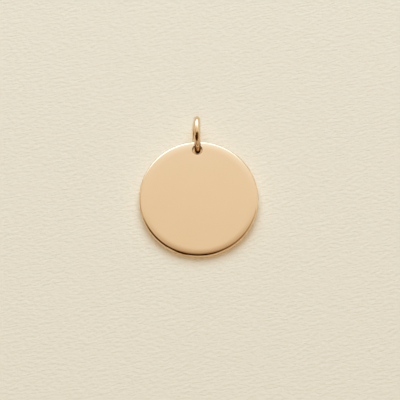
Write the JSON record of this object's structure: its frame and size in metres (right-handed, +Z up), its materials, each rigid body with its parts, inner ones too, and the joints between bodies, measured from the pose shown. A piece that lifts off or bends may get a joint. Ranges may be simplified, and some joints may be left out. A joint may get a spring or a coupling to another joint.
{
  "type": "disc pendant",
  "caption": "Plain polished gold disc pendant with softened edges and a soldered jump ring through a small hole near its rim, lying flat.",
  "frame": {"origin": "middle of the part's footprint, on the surface that it lies on", "axes": "+Z up from the surface, +Y from the disc towards the jump ring, +X to the right of that, across the disc"},
  "size_m": [0.016, 0.0194, 0.0051],
  "materials": {
    "disc_gold": "polished yellow gold, with the fine soft marks of a buffed surface",
    "ring_gold": "polished drawn gold wire, bent and soldered closed"
  },
  "bodies": {
    "root": {"disc": "disc_gold", "jump_ring": "ring_gold"}
  },
  "joints": []
}
